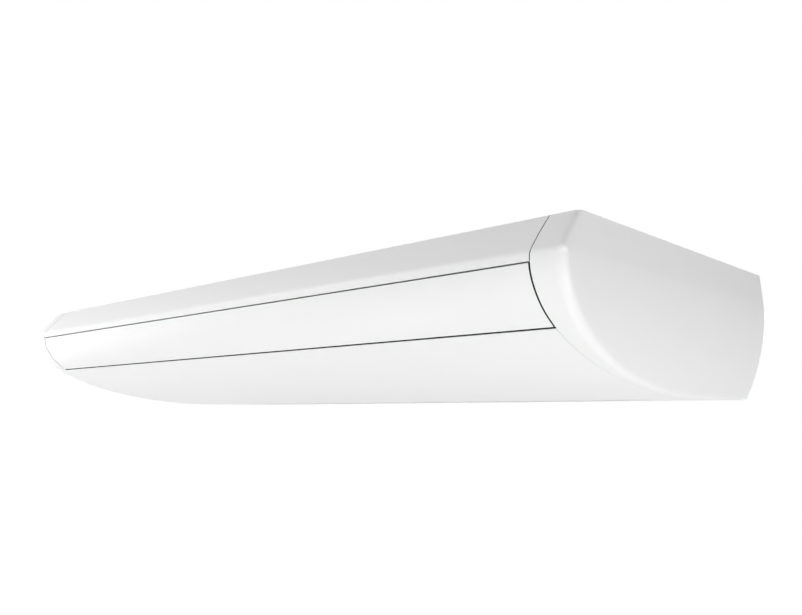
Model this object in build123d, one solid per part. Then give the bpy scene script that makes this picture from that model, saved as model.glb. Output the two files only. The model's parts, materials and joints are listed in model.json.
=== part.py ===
from build123d import *
import os
from math import asin, ceil, cos, degrees, radians, sin, sqrt

# Indoor unit of an air conditioner that hangs under a ceiling. All sizes are in millimetres.
# X runs along the unit, Y from its front to its back, Z up.
# The origin is the centre of the four suspension slots, on the underside of the hangers.

# Casing
LENGTH = 1650.0
HEIGHT = 235.0
DEPTH = 675.0
SLOTS_BEHIND_FRONT = 379.0
HANGER_BELOW_TOP = 14.0
CAP_LENGTH = 51.0
WALL = 3.0
SHEET = 1.2
SIDE_SHEET = 1.5
FOAM = 9.0

# Clearances
SEAM = 0.4
REST = 0.3
RUNNING = 0.05
LINK_FIT = 0.1

# Front section: the end angle and radius of each arc, from the nose down and from the nose up
NOSE_BELOW_TOP = 64.4
BELLY_ARCS = ((25, 70.0), (50, 122.0), (65, 218.0), (77, 558.0))
BROW_ARCS = ((-36, 20.0), (-60, 604.0))
COVER_FLANGE = 34.0
LIP_DEPTH = 13.0
LIP_SHEET = 2.0
RIB_DEPTH = 10.0

# End caps
CREASE_BELOW_TOP = 58.0
BULGE_RADIUS = 378.0
CAP_LEAN = 4.6
CAP_ROUND = 11.0
SPLINE_STEP = 9.0
SPLINE_LEAST = 5
BOSS_RADIUS = 6.0
BOSS_PLACES = ((-250.0, -60.0), (-120.0, -150.0), (120.0, -180.0), (250.0, -60.0))

# Suspension
SLOT_PITCH_X = 1590.0
SLOT_PITCH_Y = 320.0
SLOT_WIDTH = 12.0
SLOT_LENGTH = 25.0
HANGER_SHEET = 3.0
HANGER_REACH = 37.0
HANGER_LENGTH = 380.0
HANGER_DROP = 60.0
HANGER_BOLT_RADIUS = 6.0
HANGER_BOLT_HEAD = 4.0
HANGER_BOLT_Y = (-120.0, 0.0, 120.0)

# Flap
FLAP_TOP_ANGLE = 4.6
FLAP_LOW_ANGLE = 55.7
FLAP_SEAM = 2.4
FLAP_END_GAP = 1.4
FLAP_WALL = 5.0
HINGE_ANGLE = 48.0
HINGE_INSET = 12.0
LUG_RADIUS = 7.0
LUG_SPREAD = 5.0
LUG_WIDTH = 6.0
PIN_RADIUS = 3.0
SUPPORT_X = (-300.0, 300.0)
SUPPORT_WIDTH = 7.0
SUPPORT_FOOT = 16.0
CHEEK_WIDTH = 4.0

# Air throat, in its own tilted frame: v runs back along the flow and w up across it
MOUTH_ANGLE = 30.0
THROAT_TILT = 30.0
THROAT_HALF = 36.0
RAIL_V = (50.0, 142.0)
RAIL_WALL = 6.0
GUIDE_V = (30.0, 116.0)
VANE_COUNT = 10
VANE_PITCH = 150.0
VANE_V = 80.0
VANE_FRONT = 28.0
VANE_BACK = 37.0
VANE_WALL = 2.0
VANE_HEIGHT = 58.0
VANE_LIFT = 8.0
VANE_PIN = 2.0
VANE_BOSS = 4.0
LINK_ARM = 25.0
LINK_PIN = 1.5
TIE_BAR_WIDTH = 8.0
TIE_BAR_SHEET = 3.0
MOTOR_RADIUS = 14.0
MOTOR_LENGTH = 19.0
MOTOR_OFFSET = 8.0

# Coil
COIL_Y = 207.0
COIL_BELOW_TOP = 35.0
COIL_SLOPE = 43.4
COIL_HEIGHT = 225.0
COIL_DEPTH = 44.0
COIL_X = (-640.0, 735.0)
TUBE_COUNT = 8
TUBE_PITCH = 26.0
TUBE_ROW = 11.0
TUBE_RADIUS = 4.0
TUBE_END = 15.0
LIQUID_PIPE = 4.76
GAS_PIPE = 7.94
UNION_LENGTH = 16.0
UNION_BODY = 12.0
LIQUID_THREAD = 7.94
GAS_THREAD = 11.1
PIPE_BEND = 25.0
LIQUID_X = -735.0
GAS_X = -695.0
PIPE_OUTLET_HEIGHT = 125.0
PIPE_PLATE_X = -652.0

# Drain
PAN_Y = (149.0, 398.0)
PAN_INSET = 10.5
PAN_BACK_HEIGHT = 46.0
PAN_FRONT_FOOT = 60.0
PAN_FLOOR_TOP = 90.0
DRAIN_X = -690.0
DRAIN_HEIGHT = 34.0
DRAIN_RADIUS = 13.0
DRAIN_WALL = 3.0

# Fans
PARTITION_Y = 401.0
PARTITION_LEFT = -640.0
FAN_BEHIND = 121.0
FAN_HEIGHT = 108.0
FAN_X = (-480.0, -200.0, 200.0, 480.0)
WHEEL_RADIUS = 76.0
WHEEL_LENGTH = 140.0
WHEEL_RING = 6.0
WHEEL_DISC = 3.0
BLADE_COUNT = 32
BLADE_CHORD = 15.0
BLADE_WALL = 1.4
BLADE_PITCH = 35.0
HUB_RADIUS = 18.0
HUB_LENGTH = 36.0
SHAFT_RADIUS = 6.0
SHAFT_REACH = 634.0
SCROLL_RADIUS = 84.0
SCROLL_GROWTH = 8.0
SCROLL_WIDTH = 150.0
SCROLL_WALL = 2.0
INLET_RADIUS = 60.0
TONGUE_RISE = 26.0
FAN_MOTOR_RADIUS = 50.0
FAN_MOTOR_LENGTH = 104.0
FAN_MOTOR_NOSE = 8.0
BRACKET_WIDTH = 16.0
BRACKET_X = 34.0
BEARING_X = 625.0
BEARING_RADIUS = 14.0

# Underside
FLAT_Y = 466.0
FLANGE_HEIGHT = 13.0
GRILLE_X = (8.0, 630.0)
GRILLE_BACK_STRIP = 28.0
GRILLE_DEPTH = 168.0
COLLAR_HEIGHT = 14.0
GRILLE_GAP = 0.8
GRILLE_THICKNESS = 8.0
BARREL_RADIUS = 4.0
BARREL_GAP = 4.6
GRILLE_PIN = 2.0
GRILLE_BORDER = 10.0
GRILLE_FRONT_BORDER = 30.0
SLAT_PITCH = 8.0
SLAT_WALL = 2.4
RIB_PITCH = 62.0
FILTER_THICKNESS = 4.0
FILTER_BORDER = 6.0
MESH_WALL = 1.0
LATCH_INSET = 110.0
LATCH_WIDTH = 22.0
LATCH_DEPTH = 12.0
LATCH_HEIGHT = 6.0
LATCH_TRAVEL = 5.0
TONGUE_WIDTH = 10.0
TONGUE_WALL = 2.0
TONGUE_Z = 3.2
SCREW_RADIUS = 2.0
SCREW_HEAD = 4.0
SCREW_LENGTH = 7.0
SCREW_X = (-700.0, -420.0, -140.0, 140.0, 420.0, 700.0)

# Electrics
BOX_X = (652.0, 764.0)
BOX_Y = (440.0, 640.0)
BOX_HEIGHT = 90.0
BOARD_MARGIN = 8.0
BOARD_WALL = 1.6
BOARD_DROP = 26.0
GROMMET_X = 700.0
GROMMET_BELOW_TOP = 50.0
GROMMET_RADIUS = 14.0
GROMMET_BORE = 10.0

# Places that follow from the sizes above
HALF = LENGTH / 2
TOP = HANGER_BELOW_TOP
BOTTOM = TOP - HEIGHT
FRONT = -SLOTS_BEHIND_FRONT
BACK = FRONT + DEPTH
SEAM_X = HALF - CAP_LENGTH
COVER_X = SEAM_X - SEAM
SIDE_X = SEAM_X + SEAM
OUTER_SIDE_X = SIDE_X + SIDE_SHEET
DECK = TOP - WALL
CEILING = DECK - SHEET
CREASE_Z = TOP - CREASE_BELOW_TOP
PARTITION = (FRONT + PARTITION_Y, FRONT + PARTITION_Y + SIDE_SHEET)
FAN_Y = BACK - FAN_BEHIND
FAN_Z = BOTTOM + FAN_HEIGHT
FLAT = FRONT + FLAT_Y
INNER_BACK = BACK - SHEET
GRILLE_Y = (BACK - GRILLE_BACK_STRIP - GRILLE_DEPTH, BACK - GRILLE_BACK_STRIP)
SIDES = {"left": -1, "right": 1}


def block(x, y, z):
    """A block between three (low, high) pairs."""
    centre = [(low + high) / 2 for low, high in (x, y, z)]
    size = [high - low for low, high in (x, y, z)]
    return Pos(*centre) * Box(*size)


def bar(radius, x, y, z):
    """A round bar along X, between the pair x, about the axis through (y, z)."""
    return Pos((x[0] + x[1]) / 2, y, z) * Rot(0, 90, 0) * Cylinder(radius, x[1] - x[0])


def post(radius, x, y, z):
    """A round post along Z, between the pair z."""
    return Pos(x, y, (z[0] + z[1]) / 2) * Cylinder(radius, z[1] - z[0])


def rod_y(radius, x, y, z):
    """A round rod along Y, between the pair y."""
    return Pos(x, (y[0] + y[1]) / 2, z) * Rot(90, 0, 0) * Cylinder(radius, y[1] - y[0])


def prism(corners, x):
    """A polygon of (y, z) corners drawn out along X."""
    outline = Wire.make_polygon([(x[0], y, z) for y, z in corners])
    return extrude(Face(outline), x[1] - x[0], dir=(1, 0, 0))


def on_side(side, shape):
    """A shape drawn for the right end, put at the named end."""
    return shape if SIDES[side] > 0 else mirror(shape, about=Plane.YZ)


def save(name, *solids):
    """Write one piece, or one group of like pieces, to its file."""
    whole = solids[0] if len(solids) == 1 else Compound(children=list(solids))
    export_step(whole, f"parts/{name}.step")


def normal(angle):
    """The outward direction (y, z) of the skin, from 0 at the nose to 90 underneath."""
    return -cos(radians(angle)), -sin(radians(angle))


def skin_arcs():
    """The arcs of the front section as (low angle, high angle, centre y, centre z, radius)."""
    arcs = []
    for spans in (BELLY_ARCS, BROW_ARCS):
        radius = spans[0][1]
        start = 0
        centre_y = FRONT + radius
        centre_z = TOP - NOSE_BELOW_TOP
        for end, next_radius in spans:
            centre_y += (radius - next_radius) * normal(start)[0]
            centre_z += (radius - next_radius) * normal(start)[1]
            radius = next_radius
            arcs.append((min(start, end), max(start, end), centre_y, centre_z, radius))
            start = end
    low, high, centre_y, centre_z, radius = max(arcs)
    side, down = normal(high)
    last = (centre_z - BOTTOM + radius * down) / (1 + down)
    centre_y += (radius - last) * side
    centre_z += (radius - last) * down
    arcs.append((high, 90, centre_y, centre_z, last))
    return sorted(arcs)


ARCS = skin_arcs()


def skin_arc(angle):
    """The arc of the skin that holds an angle."""
    return next(arc for arc in ARCS if arc[0] <= angle <= arc[1])


def skin_point(angle, inset=0.0):
    """The point (y, z) of the skin at an angle, set in by a distance."""
    _, _, centre_y, centre_z, radius = skin_arc(angle)
    side, down = normal(angle)
    return centre_y + (radius - inset) * side, centre_z + (radius - inset) * down


def skin_step(angle, distance):
    """The angle reached by going a short distance down the skin."""
    return angle + degrees(distance / skin_arc(angle)[4])


def brow_angle(height, inset):
    """The angle at which the top slope, set in by a distance, reaches a height."""
    _, _, _, centre_z, radius = ARCS[0]
    return degrees(asin((centre_z - height) / (radius - inset)))


def skin_edges(start, end, inset, x):
    """The skin between two angles as arcs, in the plane at x."""
    bounds = [start, *[arc[1] for arc in ARCS if start < arc[1] < end], end]
    edges = []
    for low, high in zip(bounds, bounds[1:]):
        stations = [skin_point(angle, inset) for angle in (low, (low + high) / 2, high)]
        edges.append(Edge.make_three_point_arc(*[(x, y, z) for y, z in stations]))
    return edges


def smooth_edge(start, end, inset, x):
    """The skin between two angles as one spline, so that a fillet along it meets a single face."""
    bounds = [start, *[arc[1] for arc in ARCS if start < arc[1] < end], end]
    stations = []
    for low, high in zip(bounds, bounds[1:]):
        length = radians(high - low) * skin_arc((low + high) / 2)[4]
        count = max(SPLINE_LEAST, ceil(length / SPLINE_STEP))
        stations += [skin_point(low + (high - low) * number / count, inset) for number in range(count)]
    stations.append(skin_point(end, inset))
    points = [Vector(x, y, z) for y, z in stations]
    tangents = [Vector(0, sin(radians(angle)), -cos(radians(angle))) for angle in (start, end)]
    return Edge.make_spline(points, tangents=tangents)


def section(edges, corners, x):
    """A chain of edges closed through (y, z) corners and drawn out along X."""
    chain = Wire(edges)
    loop = [chain @ 1, *[Vector(x[0], y, z) for y, z in corners], chain @ 0]
    lines = [Edge.make_line(start, end) for start, end in zip(loop, loop[1:])]
    return extrude(Face(Wire([*chain.edges(), *lines])), x[1] - x[0], dir=(1, 0, 0))


def band(start, end, outer, inner, x):
    """A curved wall that follows the skin between two angles and two insets."""
    outside = skin_edges(start, end, outer, x[0])
    inside = skin_edges(start, end, inner, x[0])
    joins = []
    for angle in (start, end):
        joins.append(Edge.make_line(*[(x[0], *skin_point(angle, inset)) for inset in (outer, inner)]))
    return extrude(Face(Wire([*outside, *inside, *joins])), x[1] - x[0], dir=(1, 0, 0))


def body(inset, x, top, back, smooth=False):
    """The whole inside of the casing at an inset, up to a top and a back."""
    start = brow_angle(top, inset)
    edges = [smooth_edge(start, 90, inset, x[0])] if smooth else skin_edges(start, 90, inset, x[0])
    return section(edges, [(back, BOTTOM + inset), (back, top)], x)


MOUTH = skin_point(MOUTH_ANGLE)
THROAT = Pos(0, *MOUTH) * Rot(THROAT_TILT, 0, 0)
TILT_COS = cos(radians(THROAT_TILT))
TILT_SIN = sin(radians(THROAT_TILT))
RAIL_W = (-THROAT_HALF - RAIL_WALL, -THROAT_HALF)
HINGE = skin_point(HINGE_ANGLE, HINGE_INSET)
VANE_X = [VANE_PITCH * (number - (VANE_COUNT - 1) / 2) for number in range(VANE_COUNT)]
GRILLE_HINGE = (GRILLE_Y[1] - BARREL_GAP, BOTTOM + BARREL_RADIUS)


def from_throat(v, w):
    """The point (y, z) at a place (v, w) of the throat."""
    return MOUTH[0] + v * TILT_COS - w * TILT_SIN, MOUTH[1] + v * TILT_SIN + w * TILT_COS


def to_throat(y, z):
    """The place (v, w) in the throat of a point (y, z)."""
    side = y - MOUTH[0]
    rise = z - MOUTH[1]
    return side * TILT_COS + rise * TILT_SIN, rise * TILT_COS - side * TILT_SIN


def rail_underside(y):
    """The height of the outlet rail's underside over a place y."""
    side = y - MOUTH[0] + RAIL_W[0] * TILT_SIN
    return MOUTH[1] + side / TILT_COS * TILT_SIN + RAIL_W[0] * TILT_COS


def cap_form(inset, top, inner_x):
    """The rounded form of an end cap, set in by a wall, up to a top and in to a plane."""
    radius = BULGE_RADIUS - inset
    low = BOTTOM + inset
    bulge_x = HALF - BULGE_RADIUS
    lean = CAP_LEAN * (top - CREASE_Z) / (TOP - CREASE_Z)
    heights = (low, (low + CREASE_Z) / 2, CREASE_Z)
    stations = [(bulge_x + sqrt(radius**2 - (CREASE_Z - height) ** 2), height) for height in heights]
    corners = [stations[-1], (HALF - inset - lean, top), (inner_x, top), (inner_x, low), stations[0]]
    arc = Edge.make_three_point_arc(*[(x, FRONT, z) for x, z in stations])
    lines = [Edge.make_line((a, FRONT, b), (c, FRONT, d)) for (a, b), (c, d) in zip(corners, corners[1:])]
    bulge = extrude(Face(Wire([arc, *lines])), DEPTH, dir=(0, 1, 0))
    form = body(inset, (inner_x, HALF), top, BACK - inset, smooth=True) & bulge
    rounded = []
    for edge in form.edges():
        bounds = edge.bounding_box()
        inner = bounds.min.X < inner_x + SEAM
        rim = bounds.min.Y > BACK - inset - SEAM or bounds.min.Z > top - SEAM
        crease = abs(bounds.min.Z - CREASE_Z) < SEAM and abs(bounds.max.Z - CREASE_Z) < SEAM
        if not (inner or rim or crease):
            rounded.append(edge)
    return fillet(rounded, CAP_ROUND - inset)


def end_cap():
    """A moulded end cap, open above, with bosses that seat on the side plate."""
    cap = cap_form(0.0, TOP, SEAM_X) - cap_form(WALL, TOP + WALL, SEAM_X - WALL)
    shell = cap_form(WALL / 2, TOP, SEAM_X)
    for y, z in BOSS_PLACES:
        cap += bar(BOSS_RADIUS, (OUTER_SIDE_X, HALF), y, z) & shell
    return cap


def side_plate():
    """The right side plate, with the bush hole of the flap."""
    plate = body(WALL + REST, (SIDE_X, OUTER_SIDE_X), CEILING, BACK - WALL - REST)
    return plate - bar(PIN_RADIUS + RUNNING, (SIDE_X, OUTER_SIDE_X), *HINGE)


def hanger():
    """The right hanger: an angle with two slots along X in its flange."""
    x = (OUTER_SIDE_X, OUTER_SIDE_X + HANGER_SHEET)
    y = (-HANGER_LENGTH / 2, HANGER_LENGTH / 2)
    piece = block(x, y, (-HANGER_DROP, HANGER_SHEET))
    piece += block((OUTER_SIDE_X, OUTER_SIDE_X + HANGER_REACH), y, (0, HANGER_SHEET))
    for sign in (-1, 1):
        slot = extrude(SlotOverall(SLOT_LENGTH, SLOT_WIDTH), 2 * HANGER_SHEET, both=True)
        piece -= Pos(SLOT_PITCH_X / 2, sign * SLOT_PITCH_Y / 2, 0) * slot
    return piece


def hanger_bolt(side, y):
    """A bolt head on a hanger's web."""
    low = OUTER_SIDE_X + HANGER_SHEET
    head = extrude(RegularPolygon(HANGER_BOLT_RADIUS, 6), HANGER_BOLT_HEAD)
    return on_side(side, Pos(low, y, -HANGER_DROP / 2) * Rot(0, 90, 0) * head)


def front_cover():
    """The top slope, the nose and the strip down to the flap, with a top flange and a lower lip."""
    x = (-COVER_X, COVER_X)
    low = skin_step(FLAP_TOP_ANGLE, -FLAP_SEAM / 2)
    cover = band(brow_angle(TOP, 0), low, 0, WALL, x) & block(x, (FRONT, 0), (BOTTOM, TOP))
    start_y, _ = skin_point(brow_angle(TOP, 0))
    flange_y = start_y + COVER_FLANGE
    cover += block(x, (start_y, flange_y), (DECK, TOP))
    cover += band(skin_step(low, -LIP_SHEET), low, 0, LIP_DEPTH, x)
    return cover


def lower_panel():
    """The long belly panel from the flap to the flat underside, ribbed and flanged."""
    x = (-COVER_X, COVER_X)
    start = skin_step(FLAP_LOW_ANGLE, FLAP_SEAM / 2)
    panel = band(start, 90, 0, WALL, x)
    rib = skin_step(start, RIB_DEPTH)
    panel += band(rib, skin_step(rib, LIP_SHEET), 0, RIB_DEPTH, x)
    arc_end = skin_point(90)[0]
    panel += block(x, (arc_end, FLAT), (BOTTOM, BOTTOM + WALL))
    panel += block(x, (FLAT - WALL, FLAT), (BOTTOM, BOTTOM + FLANGE_HEIGHT))
    for sign in (-1, 1):
        ends = sorted((sign * COVER_X, sign * (COVER_X - LIP_SHEET)))
        panel += band(rib, 90, 0, RIB_DEPTH, ends)
    return panel


def flap():
    """The outlet flap: a curved blade with lugs and pivot pins on its inner face."""
    end = SEAM_X - FLAP_END_GAP
    start = skin_step(FLAP_TOP_ANGLE, FLAP_SEAM / 2)
    stop = skin_step(FLAP_LOW_ANGLE, -FLAP_SEAM / 2)
    blade = band(start, stop, 0, FLAP_WALL, (-end, end))
    lugs = [(-end, LUG_WIDTH - end), (end - LUG_WIDTH, end)]
    pins = [(-OUTER_SIDE_X, -end), (end, OUTER_SIDE_X + MOTOR_LENGTH / 2)]
    half = SUPPORT_WIDTH / 2 + REST
    for x in SUPPORT_X:
        lugs.append((x - half - CHEEK_WIDTH, x - half))
        lugs.append((x + half, x + half + CHEEK_WIDTH))
        pins.append((x - half, x + half))
    for x in lugs:
        arm = band(HINGE_ANGLE - LUG_SPREAD, HINGE_ANGLE + LUG_SPREAD / 2, FLAP_WALL / 2, HINGE_INSET, x)
        blade += arm + bar(LUG_RADIUS, x, *HINGE)
    for x in pins:
        blade += bar(PIN_RADIUS, x, *HINGE)
    return blade


def flap_support(x):
    """A bracket on the outlet rail that carries a middle pin of the flap."""
    hinge_v, hinge_w = to_throat(*HINGE)
    half = LUG_RADIUS / 2
    face_v = RAIL_V[0] - REST
    heel_v = RAIL_V[0] + SUPPORT_FOOT
    corners = [(hinge_v, hinge_w - half), (face_v, hinge_w - half), (face_v, RAIL_W[1]), (heel_v, RAIL_W[1]),
               (heel_v, RAIL_W[1] + FLAP_WALL), (hinge_v, hinge_w + half)]
    span = (x - SUPPORT_WIDTH / 2, x + SUPPORT_WIDTH / 2)
    arm = THROAT * prism(corners, span) + bar(LUG_RADIUS, span, *HINGE)
    return arm - bar(PIN_RADIUS + RUNNING, span, *HINGE)


def flap_motor():
    """The stepping motor on the right side plate, with its body set off from the shaft."""
    side, down = normal(HINGE_ANGLE)
    x = (OUTER_SIDE_X, OUTER_SIDE_X + MOTOR_LENGTH)
    y = HINGE[0] - MOTOR_OFFSET * side
    z = HINGE[1] - MOTOR_OFFSET * down
    motor = bar(MOTOR_RADIUS, x, y, z)
    ears = Pos(x[0] + SHEET / 2, y, z) * Rot(-HINGE_ANGLE, 0, 0) * Box(SHEET, 3 * MOTOR_RADIUS, MOTOR_RADIUS / 2)
    bore = bar(PIN_RADIUS + RUNNING, (x[0], x[0] + MOTOR_LENGTH / 2 + WALL), *HINGE)
    return motor + ears - bore


def outlet_rail():
    """The slanted lower edge of the outlet, with a bush hole for each vane."""
    rail = THROAT * block((-COVER_X, COVER_X), RAIL_V, RAIL_W)
    for x in VANE_X:
        rail -= THROAT * post(VANE_PIN + RUNNING, x, VANE_V, RAIL_W)
    return rail


def is_master(number):
    """Whether a vane is the driven one, at the outer end of its set."""
    return number in (0, VANE_COUNT - 1)


def vane(number):
    """An upright air vane with its pivot pin and its link pin."""
    x = VANE_X[number]
    base = RAIL_W[1]
    low = base + VANE_LIFT
    reach = MOTOR_LENGTH / 2 if is_master(number) else 0
    half = VANE_WALL / 2
    blade = block((x - half, x + half), (VANE_V - VANE_FRONT, VANE_V + VANE_BACK), (low, low + VANE_HEIGHT))
    blade = fillet(blade.edges().filter_by(Axis.X), VANE_BOSS)
    blade += post(VANE_BOSS, x, VANE_V, (base + REST, low + VANE_BOSS))
    blade += post(VANE_PIN, x, VANE_V, (RAIL_W[0] - reach, low))
    blade += post(LINK_PIN, x, VANE_V + LINK_ARM, (low - VANE_LIFT + TONGUE_WALL, low + VANE_BOSS))
    return THROAT * blade


def tie_bar(numbers):
    """The bar that keeps a set of vanes parallel."""
    places = [VANE_X[number] for number in numbers]
    half = TIE_BAR_WIDTH / 2
    v = VANE_V + LINK_ARM
    w = (RAIL_W[1] + TIE_BAR_SHEET, RAIL_W[1] + 2 * TIE_BAR_SHEET)
    strip = block((min(places) - half, max(places) + half), (v - half, v + half), w)
    for x in places:
        strip -= post(LINK_PIN + LINK_FIT, x, v, w)
    return THROAT * strip


def vane_motor(number):
    """The stepping motor under the rail that turns a driven vane."""
    w = (RAIL_W[0] - MOTOR_LENGTH, RAIL_W[0])
    motor = post(MOTOR_RADIUS, VANE_X[number], VANE_V + MOTOR_OFFSET, w)
    bore = post(VANE_PIN + RUNNING, VANE_X[number], VANE_V, (RAIL_W[0] - MOTOR_LENGTH / 2 - 1, RAIL_W[0]))
    return THROAT * (motor - bore)


def air_guide():
    """The foam lining under the top plate that leads the air down to the mouth."""
    x = (-COVER_X, COVER_X)
    inset = WALL + SLAT_WALL
    low = skin_step(FLAP_TOP_ANGLE, -FLAP_SEAM / 2 - LIP_SHEET - REST)
    edges = skin_edges(brow_angle(CEILING, inset), low, inset, x[0])
    back = FRONT + COIL_Y - COIL_DEPTH / 2
    corners = [skin_point(low, LIP_DEPTH + WALL), from_throat(GUIDE_V[0], THROAT_HALF),
               from_throat(GUIDE_V[1], THROAT_HALF), (back, CEILING - FOAM), (back, CEILING)]
    return section(edges, corners, x)


def drain_pan():
    """The foam pan under the coil: a floor that follows the belly, a high front wall and a low back wall."""
    x = (-COVER_X, COVER_X)
    front = FRONT + PAN_Y[0]
    back = FRONT + PAN_Y[1]
    room = block(x, (front, back), (BOTTOM, BOTTOM + PAN_FLOOR_TOP))
    pan = body(PAN_INSET, x, CEILING, back + FOAM) & room
    pan -= body(PAN_INSET + FOAM, x, CEILING, back + 2 * FOAM)
    low_wall = block(x, (back - FOAM, back), (BOTTOM, BOTTOM + PAN_BACK_HEIGHT))
    pan += low_wall & body(PAN_INSET, x, CEILING, back + FOAM)
    foot = BOTTOM + PAN_FRONT_FOOT
    wall = [(front, foot), (front + FOAM, foot), (front + FOAM, rail_underside(front + FOAM)),
            (front, rail_underside(front))]
    pan += prism(wall, x)
    return pan - rod_y(DRAIN_RADIUS - DRAIN_WALL, DRAIN_X, (back - 2 * FOAM, back), BOTTOM + DRAIN_HEIGHT)


def drain_pipe():
    """The stiff drain tube from the pan to the back opening."""
    y = (FRONT + PAN_Y[1], INNER_BACK - FOAM)
    z = BOTTOM + DRAIN_HEIGHT
    return rod_y(DRAIN_RADIUS, DRAIN_X, y, z) - rod_y(DRAIN_RADIUS - DRAIN_WALL, DRAIN_X, y, z)


COIL = Pos(0, FRONT + COIL_Y, TOP - COIL_BELOW_TOP) * Rot(-COIL_SLOPE, 0, 0)
TUBE_MARGIN = (COIL_HEIGHT - TUBE_PITCH * (TUBE_COUNT - 1)) / 2


def tube_place(row, number):
    """The place of a tube in the coil's slanted frame, as (along, across)."""
    return TUBE_MARGIN + TUBE_PITCH * number, row * TUBE_ROW


def tube_point(x, row, number):
    """The place of a tube in the unit's frame."""
    along, across = tube_place(row, number)
    return (COIL * Pos(x, along, across)).position


def tube_holes(x):
    """Rods in every tube place, for drilling the fins and plates."""
    return [COIL * bar(TUBE_RADIUS, x, *tube_place(row, number))
            for row in (-1, 1) for number in range(TUBE_COUNT)]


def coil_fins():
    """The block of fins, drilled for the tubes."""
    half = COIL_DEPTH / 2
    return COIL * block(COIL_X, (0, COIL_HEIGHT), (-half, half)) - tube_holes(COIL_X)


def coil_end_plate(x):
    """An end plate of the coil, with a tab that hangs it from the top plate."""
    half = COIL_DEPTH / 2 + WALL
    plate = COIL * block(x, (-WALL, COIL_HEIGHT + WALL), (-half, half))
    y = FRONT + COIL_Y
    plate += block(x, (y - WALL, y + COIL_DEPTH / 2), (TOP - COIL_BELOW_TOP, CEILING))
    return plate - tube_holes(x)


def coil_tubes():
    """The copper circuit: straight tubes joined by return bends at both ends."""
    low = COIL_X[0] - TUBE_END
    high = COIL_X[1] + TUBE_END
    solids = tube_holes((low, high))
    bend = TUBE_PITCH / 2
    for row in (-1, 1):
        for number in range(TUBE_COUNT - 1):
            along, across = tube_place(row, number)
            right = number % 2 == 0
            ring = Rot(0, 0, -90 if right else 90) * Torus(bend, TUBE_RADIUS)
            x = high if right else low
            keep = (high, high + TUBE_PITCH) if right else (low - TUBE_PITCH, low)
            half_ring = Pos(x, along + bend, across) * ring
            half_ring &= block(keep, (along - bend, along + 2 * TUBE_PITCH), (-COIL_DEPTH, COIL_DEPTH))
            solids.append(COIL * half_ring)
    along = TUBE_MARGIN
    ring = Pos(low, along, 0) * Rot(90, 0, 0) * Torus(TUBE_ROW, TUBE_RADIUS)
    ring &= block((low - COIL_DEPTH, low), (0, COIL_HEIGHT), (-COIL_DEPTH, COIL_DEPTH))
    solids.append(COIL * ring)
    return solids[0] + solids[1:]


def pipe(radius, row, x, outlet_y):
    """A refrigerant pipe from the coil's lowest tube to the back opening."""
    start = tube_point(COIL_X[0] - TUBE_END, row, TUBE_COUNT - 1)
    high = BOTTOM + PIPE_OUTLET_HEIGHT
    middle = PARTITION[1] + 3 * PIPE_BEND
    corners = [start, (x, start.Y, start.Z), (x, middle, start.Z),
               (x, middle + 3 * PIPE_BEND, high), (x, outlet_y, high)]
    path = FilletPolyline(*corners, radius=PIPE_BEND)
    return sweep(Plane(origin=path @ 0, z_dir=path % 0) * Circle(radius), path=path)


def pipe_union(radius, thread, x):
    """A flare union: a hexagon on the pipe and a threaded nose that points back."""
    high = BOTTOM + PIPE_OUTLET_HEIGHT
    start = INNER_BACK - WALL - UNION_LENGTH - UNION_BODY
    head = extrude(RegularPolygon(thread * 1.3, 6), UNION_BODY)
    union = Pos(x, start, high) * Rot(-90, 0, 0) * head
    union += rod_y(thread, x, (start + UNION_BODY, start + UNION_BODY + UNION_LENGTH), high)
    return union - rod_y(radius / 2, x, (start, start + UNION_BODY + UNION_LENGTH), high)


def scroll_form(x, grow, mouth):
    """The inside of a fan scroll, grown by a wall, with its mouth at a place y."""
    first = SCROLL_RADIUS + grow
    second = first + SCROLL_GROWTH
    third = second + SCROLL_GROWTH
    slope = sqrt(0.5)
    high = FAN_Z + SCROLL_GROWTH
    back = FAN_Y - SCROLL_GROWTH
    quarters = [
        ((FAN_Y - first, FAN_Z), (FAN_Y - first * slope, FAN_Z - first * slope), (FAN_Y, FAN_Z - first)),
        ((FAN_Y, high - second), (FAN_Y + second * slope, high - second * slope), (FAN_Y + second, high)),
        ((back + third, high), (back + third * slope, high + third * slope), (back, high + third)),
    ]
    edges = [Edge.make_three_point_arc(*[(x[0], y, z) for y, z in quarter]) for quarter in quarters]
    tongue = FAN_Z + TONGUE_RISE - grow
    corners = [(mouth, high + third), (mouth, tongue), (FAN_Y - first, tongue)]
    return section(edges, corners, x)


def scroll_housing(x):
    """A scroll housing with a round inlet at both ends and its mouth on the partition."""
    half = SCROLL_WIDTH / 2
    shell = scroll_form((x - half, x + half), 0, PARTITION[1])
    shell -= scroll_form((x - half + SCROLL_WALL, x + half - SCROLL_WALL), -SCROLL_WALL, PARTITION[0])
    return shell - bar(INLET_RADIUS, (x - half, x + half), FAN_Y, FAN_Z)


def fan_partition():
    """The plate between the fans and the coil, with a window for each scroll."""
    x = (PARTITION_LEFT, COVER_X - LIP_SHEET - REST)
    plate = block(x, PARTITION, (BOTTOM, CEILING)) & body(WALL + REST, x, CEILING, BACK)
    half = SCROLL_WIDTH / 2 - SCROLL_WALL
    roof = FAN_Z + 3 * SCROLL_GROWTH + SCROLL_RADIUS - SCROLL_WALL
    window = (FAN_Z + TONGUE_RISE + SCROLL_WALL, roof)
    for x in FAN_X:
        plate -= block((x - half, x + half), PARTITION, window)
    return plate


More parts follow.
